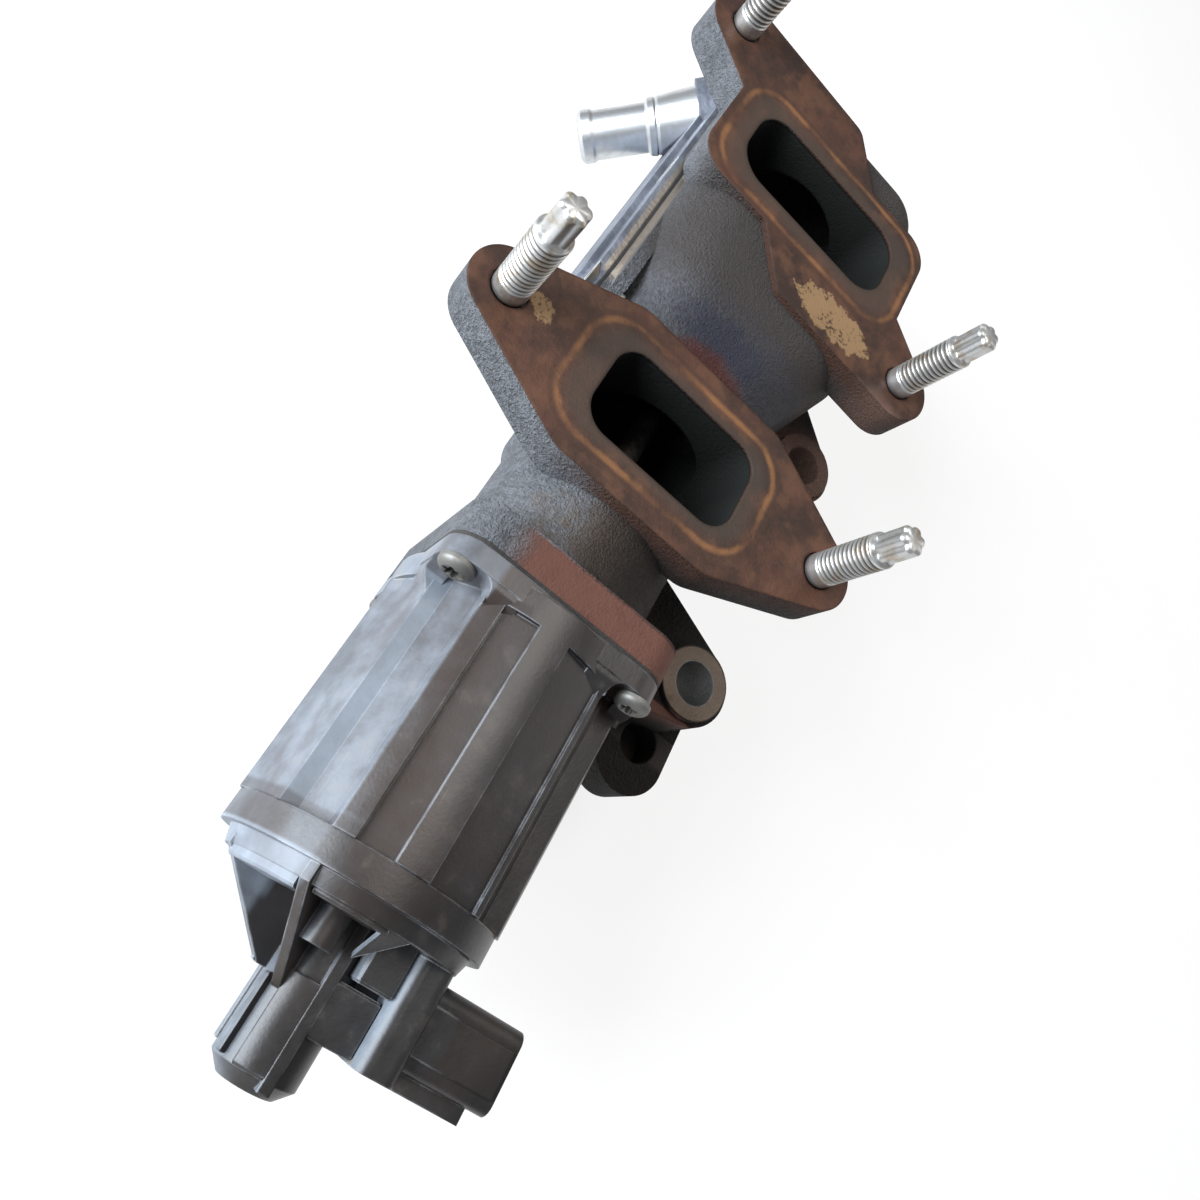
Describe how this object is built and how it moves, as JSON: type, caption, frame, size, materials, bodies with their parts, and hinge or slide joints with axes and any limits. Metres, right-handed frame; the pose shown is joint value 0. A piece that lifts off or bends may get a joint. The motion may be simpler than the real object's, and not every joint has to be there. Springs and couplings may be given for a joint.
{
  "type": "egr valve",
  "caption": "Electric exhaust gas recirculation valve: iron body with two stud flanges and a coolant jacket, and a ribbed motor actuator with a plug socket.",
  "frame": {"origin": "centre of the first gas port on its machined flange face, midway between its two studs", "axes": "+X along the valve stem from the actuator towards the second port, +Z out of the two port faces, +Y towards the coolant cover"},
  "size_m": [0.2591, 0.1126, 0.0995],
  "materials": {
    "rough_iron": "rough cast iron with heat tint, machined faces rusted brown",
    "cover_iron": "cast iron cover with a machined bright edge",
    "plug_steel": "pressed steel, dull",
    "zinc_steel": "zinc plated steel with bronze tint",
    "bright_steel": "bright drawn tube",
    "valve_steel": "heat resisting steel with soot",
    "spring_steel": "ground steel",
    "stator_steel": "formed sheet",
    "bearing_steel": "polished bearing steel",
    "bronze": "sintered bronze",
    "copper_wire": "enamelled winding",
    "tinned_brass": "tinned contact",
    "magnet": "sintered ferrite",
    "gasket_sheet": "fibre gasket sheet",
    "seal_rubber": "rubber seal",
    "black_moulding": "dusty moulded plastic with satin sheen",
    "pale_moulding": "moulded plastic",
    "board": "circuit board"
  },
  "bodies": {
    "housing": {"body_casting": "rough_iron", "bore_plug": "plug_steel", "jacket_gasket": "gasket_sheet", "jacket_cover": "cover_iron", "cover_screws": "zinc_steel", "coolant_inlet": "bright_steel", "coolant_outlet": "bright_steel", "port_studs": "zinc_steel", "valve_seat": "valve_steel", "stem_bush": "bronze", "stem_seal": "seal_rubber", "soot_shield": "valve_steel", "return_spring": "spring_steel", "actuator_gasket": "gasket_sheet", "motor_housing": "black_moulding", "housing_screws": "zinc_steel", "rear_stator": "stator_steel", "rear_coil": "copper_wire", "front_stator": "stator_steel", "front_coil": "copper_wire", "bearing_race": "bearing_steel", "bearing_balls": "bearing_steel", "rear_bush": "bronze", "guide_bush": "bronze", "end_cap": "black_moulding", "cap_seal": "seal_rubber", "sensor_board": "board", "connector_terminals": "tinned_brass"},
    "valve": {"valve_disc": "valve_steel", "valve_stem": "valve_steel", "disc_nut": "valve_steel", "spring_retainer": "plug_steel", "retainer_clip": "plug_steel", "lead_screw": "spring_steel", "sensor_plunger": "pale_moulding", "sensor_magnet": "magnet"},
    "rotor": {"rotor_magnet": "magnet", "rotor_hub": "pale_moulding", "bearing_sleeve": "bearing_steel"}
  },
  "joints": [
    {"name": "rotor_spin", "type": "hinge", "parent": "housing", "child": "rotor", "pos_m": [0, 0, -0.026], "axis": [1, 0, 0], "range_deg": [0, 540]},
    {"name": "valve_slide", "type": "slide", "parent": "housing", "child": "valve", "axis": [1, 0, 0], "range_m": [0, 0.006], "stiffness_N_per_m": 800, "springref_m": -0.004, "deforming": ["return_spring"]}
  ],
  "couplings": [
    {"joint": "rotor_spin", "follows": "valve_slide", "rad_per_m": 1570.8}
  ]
}
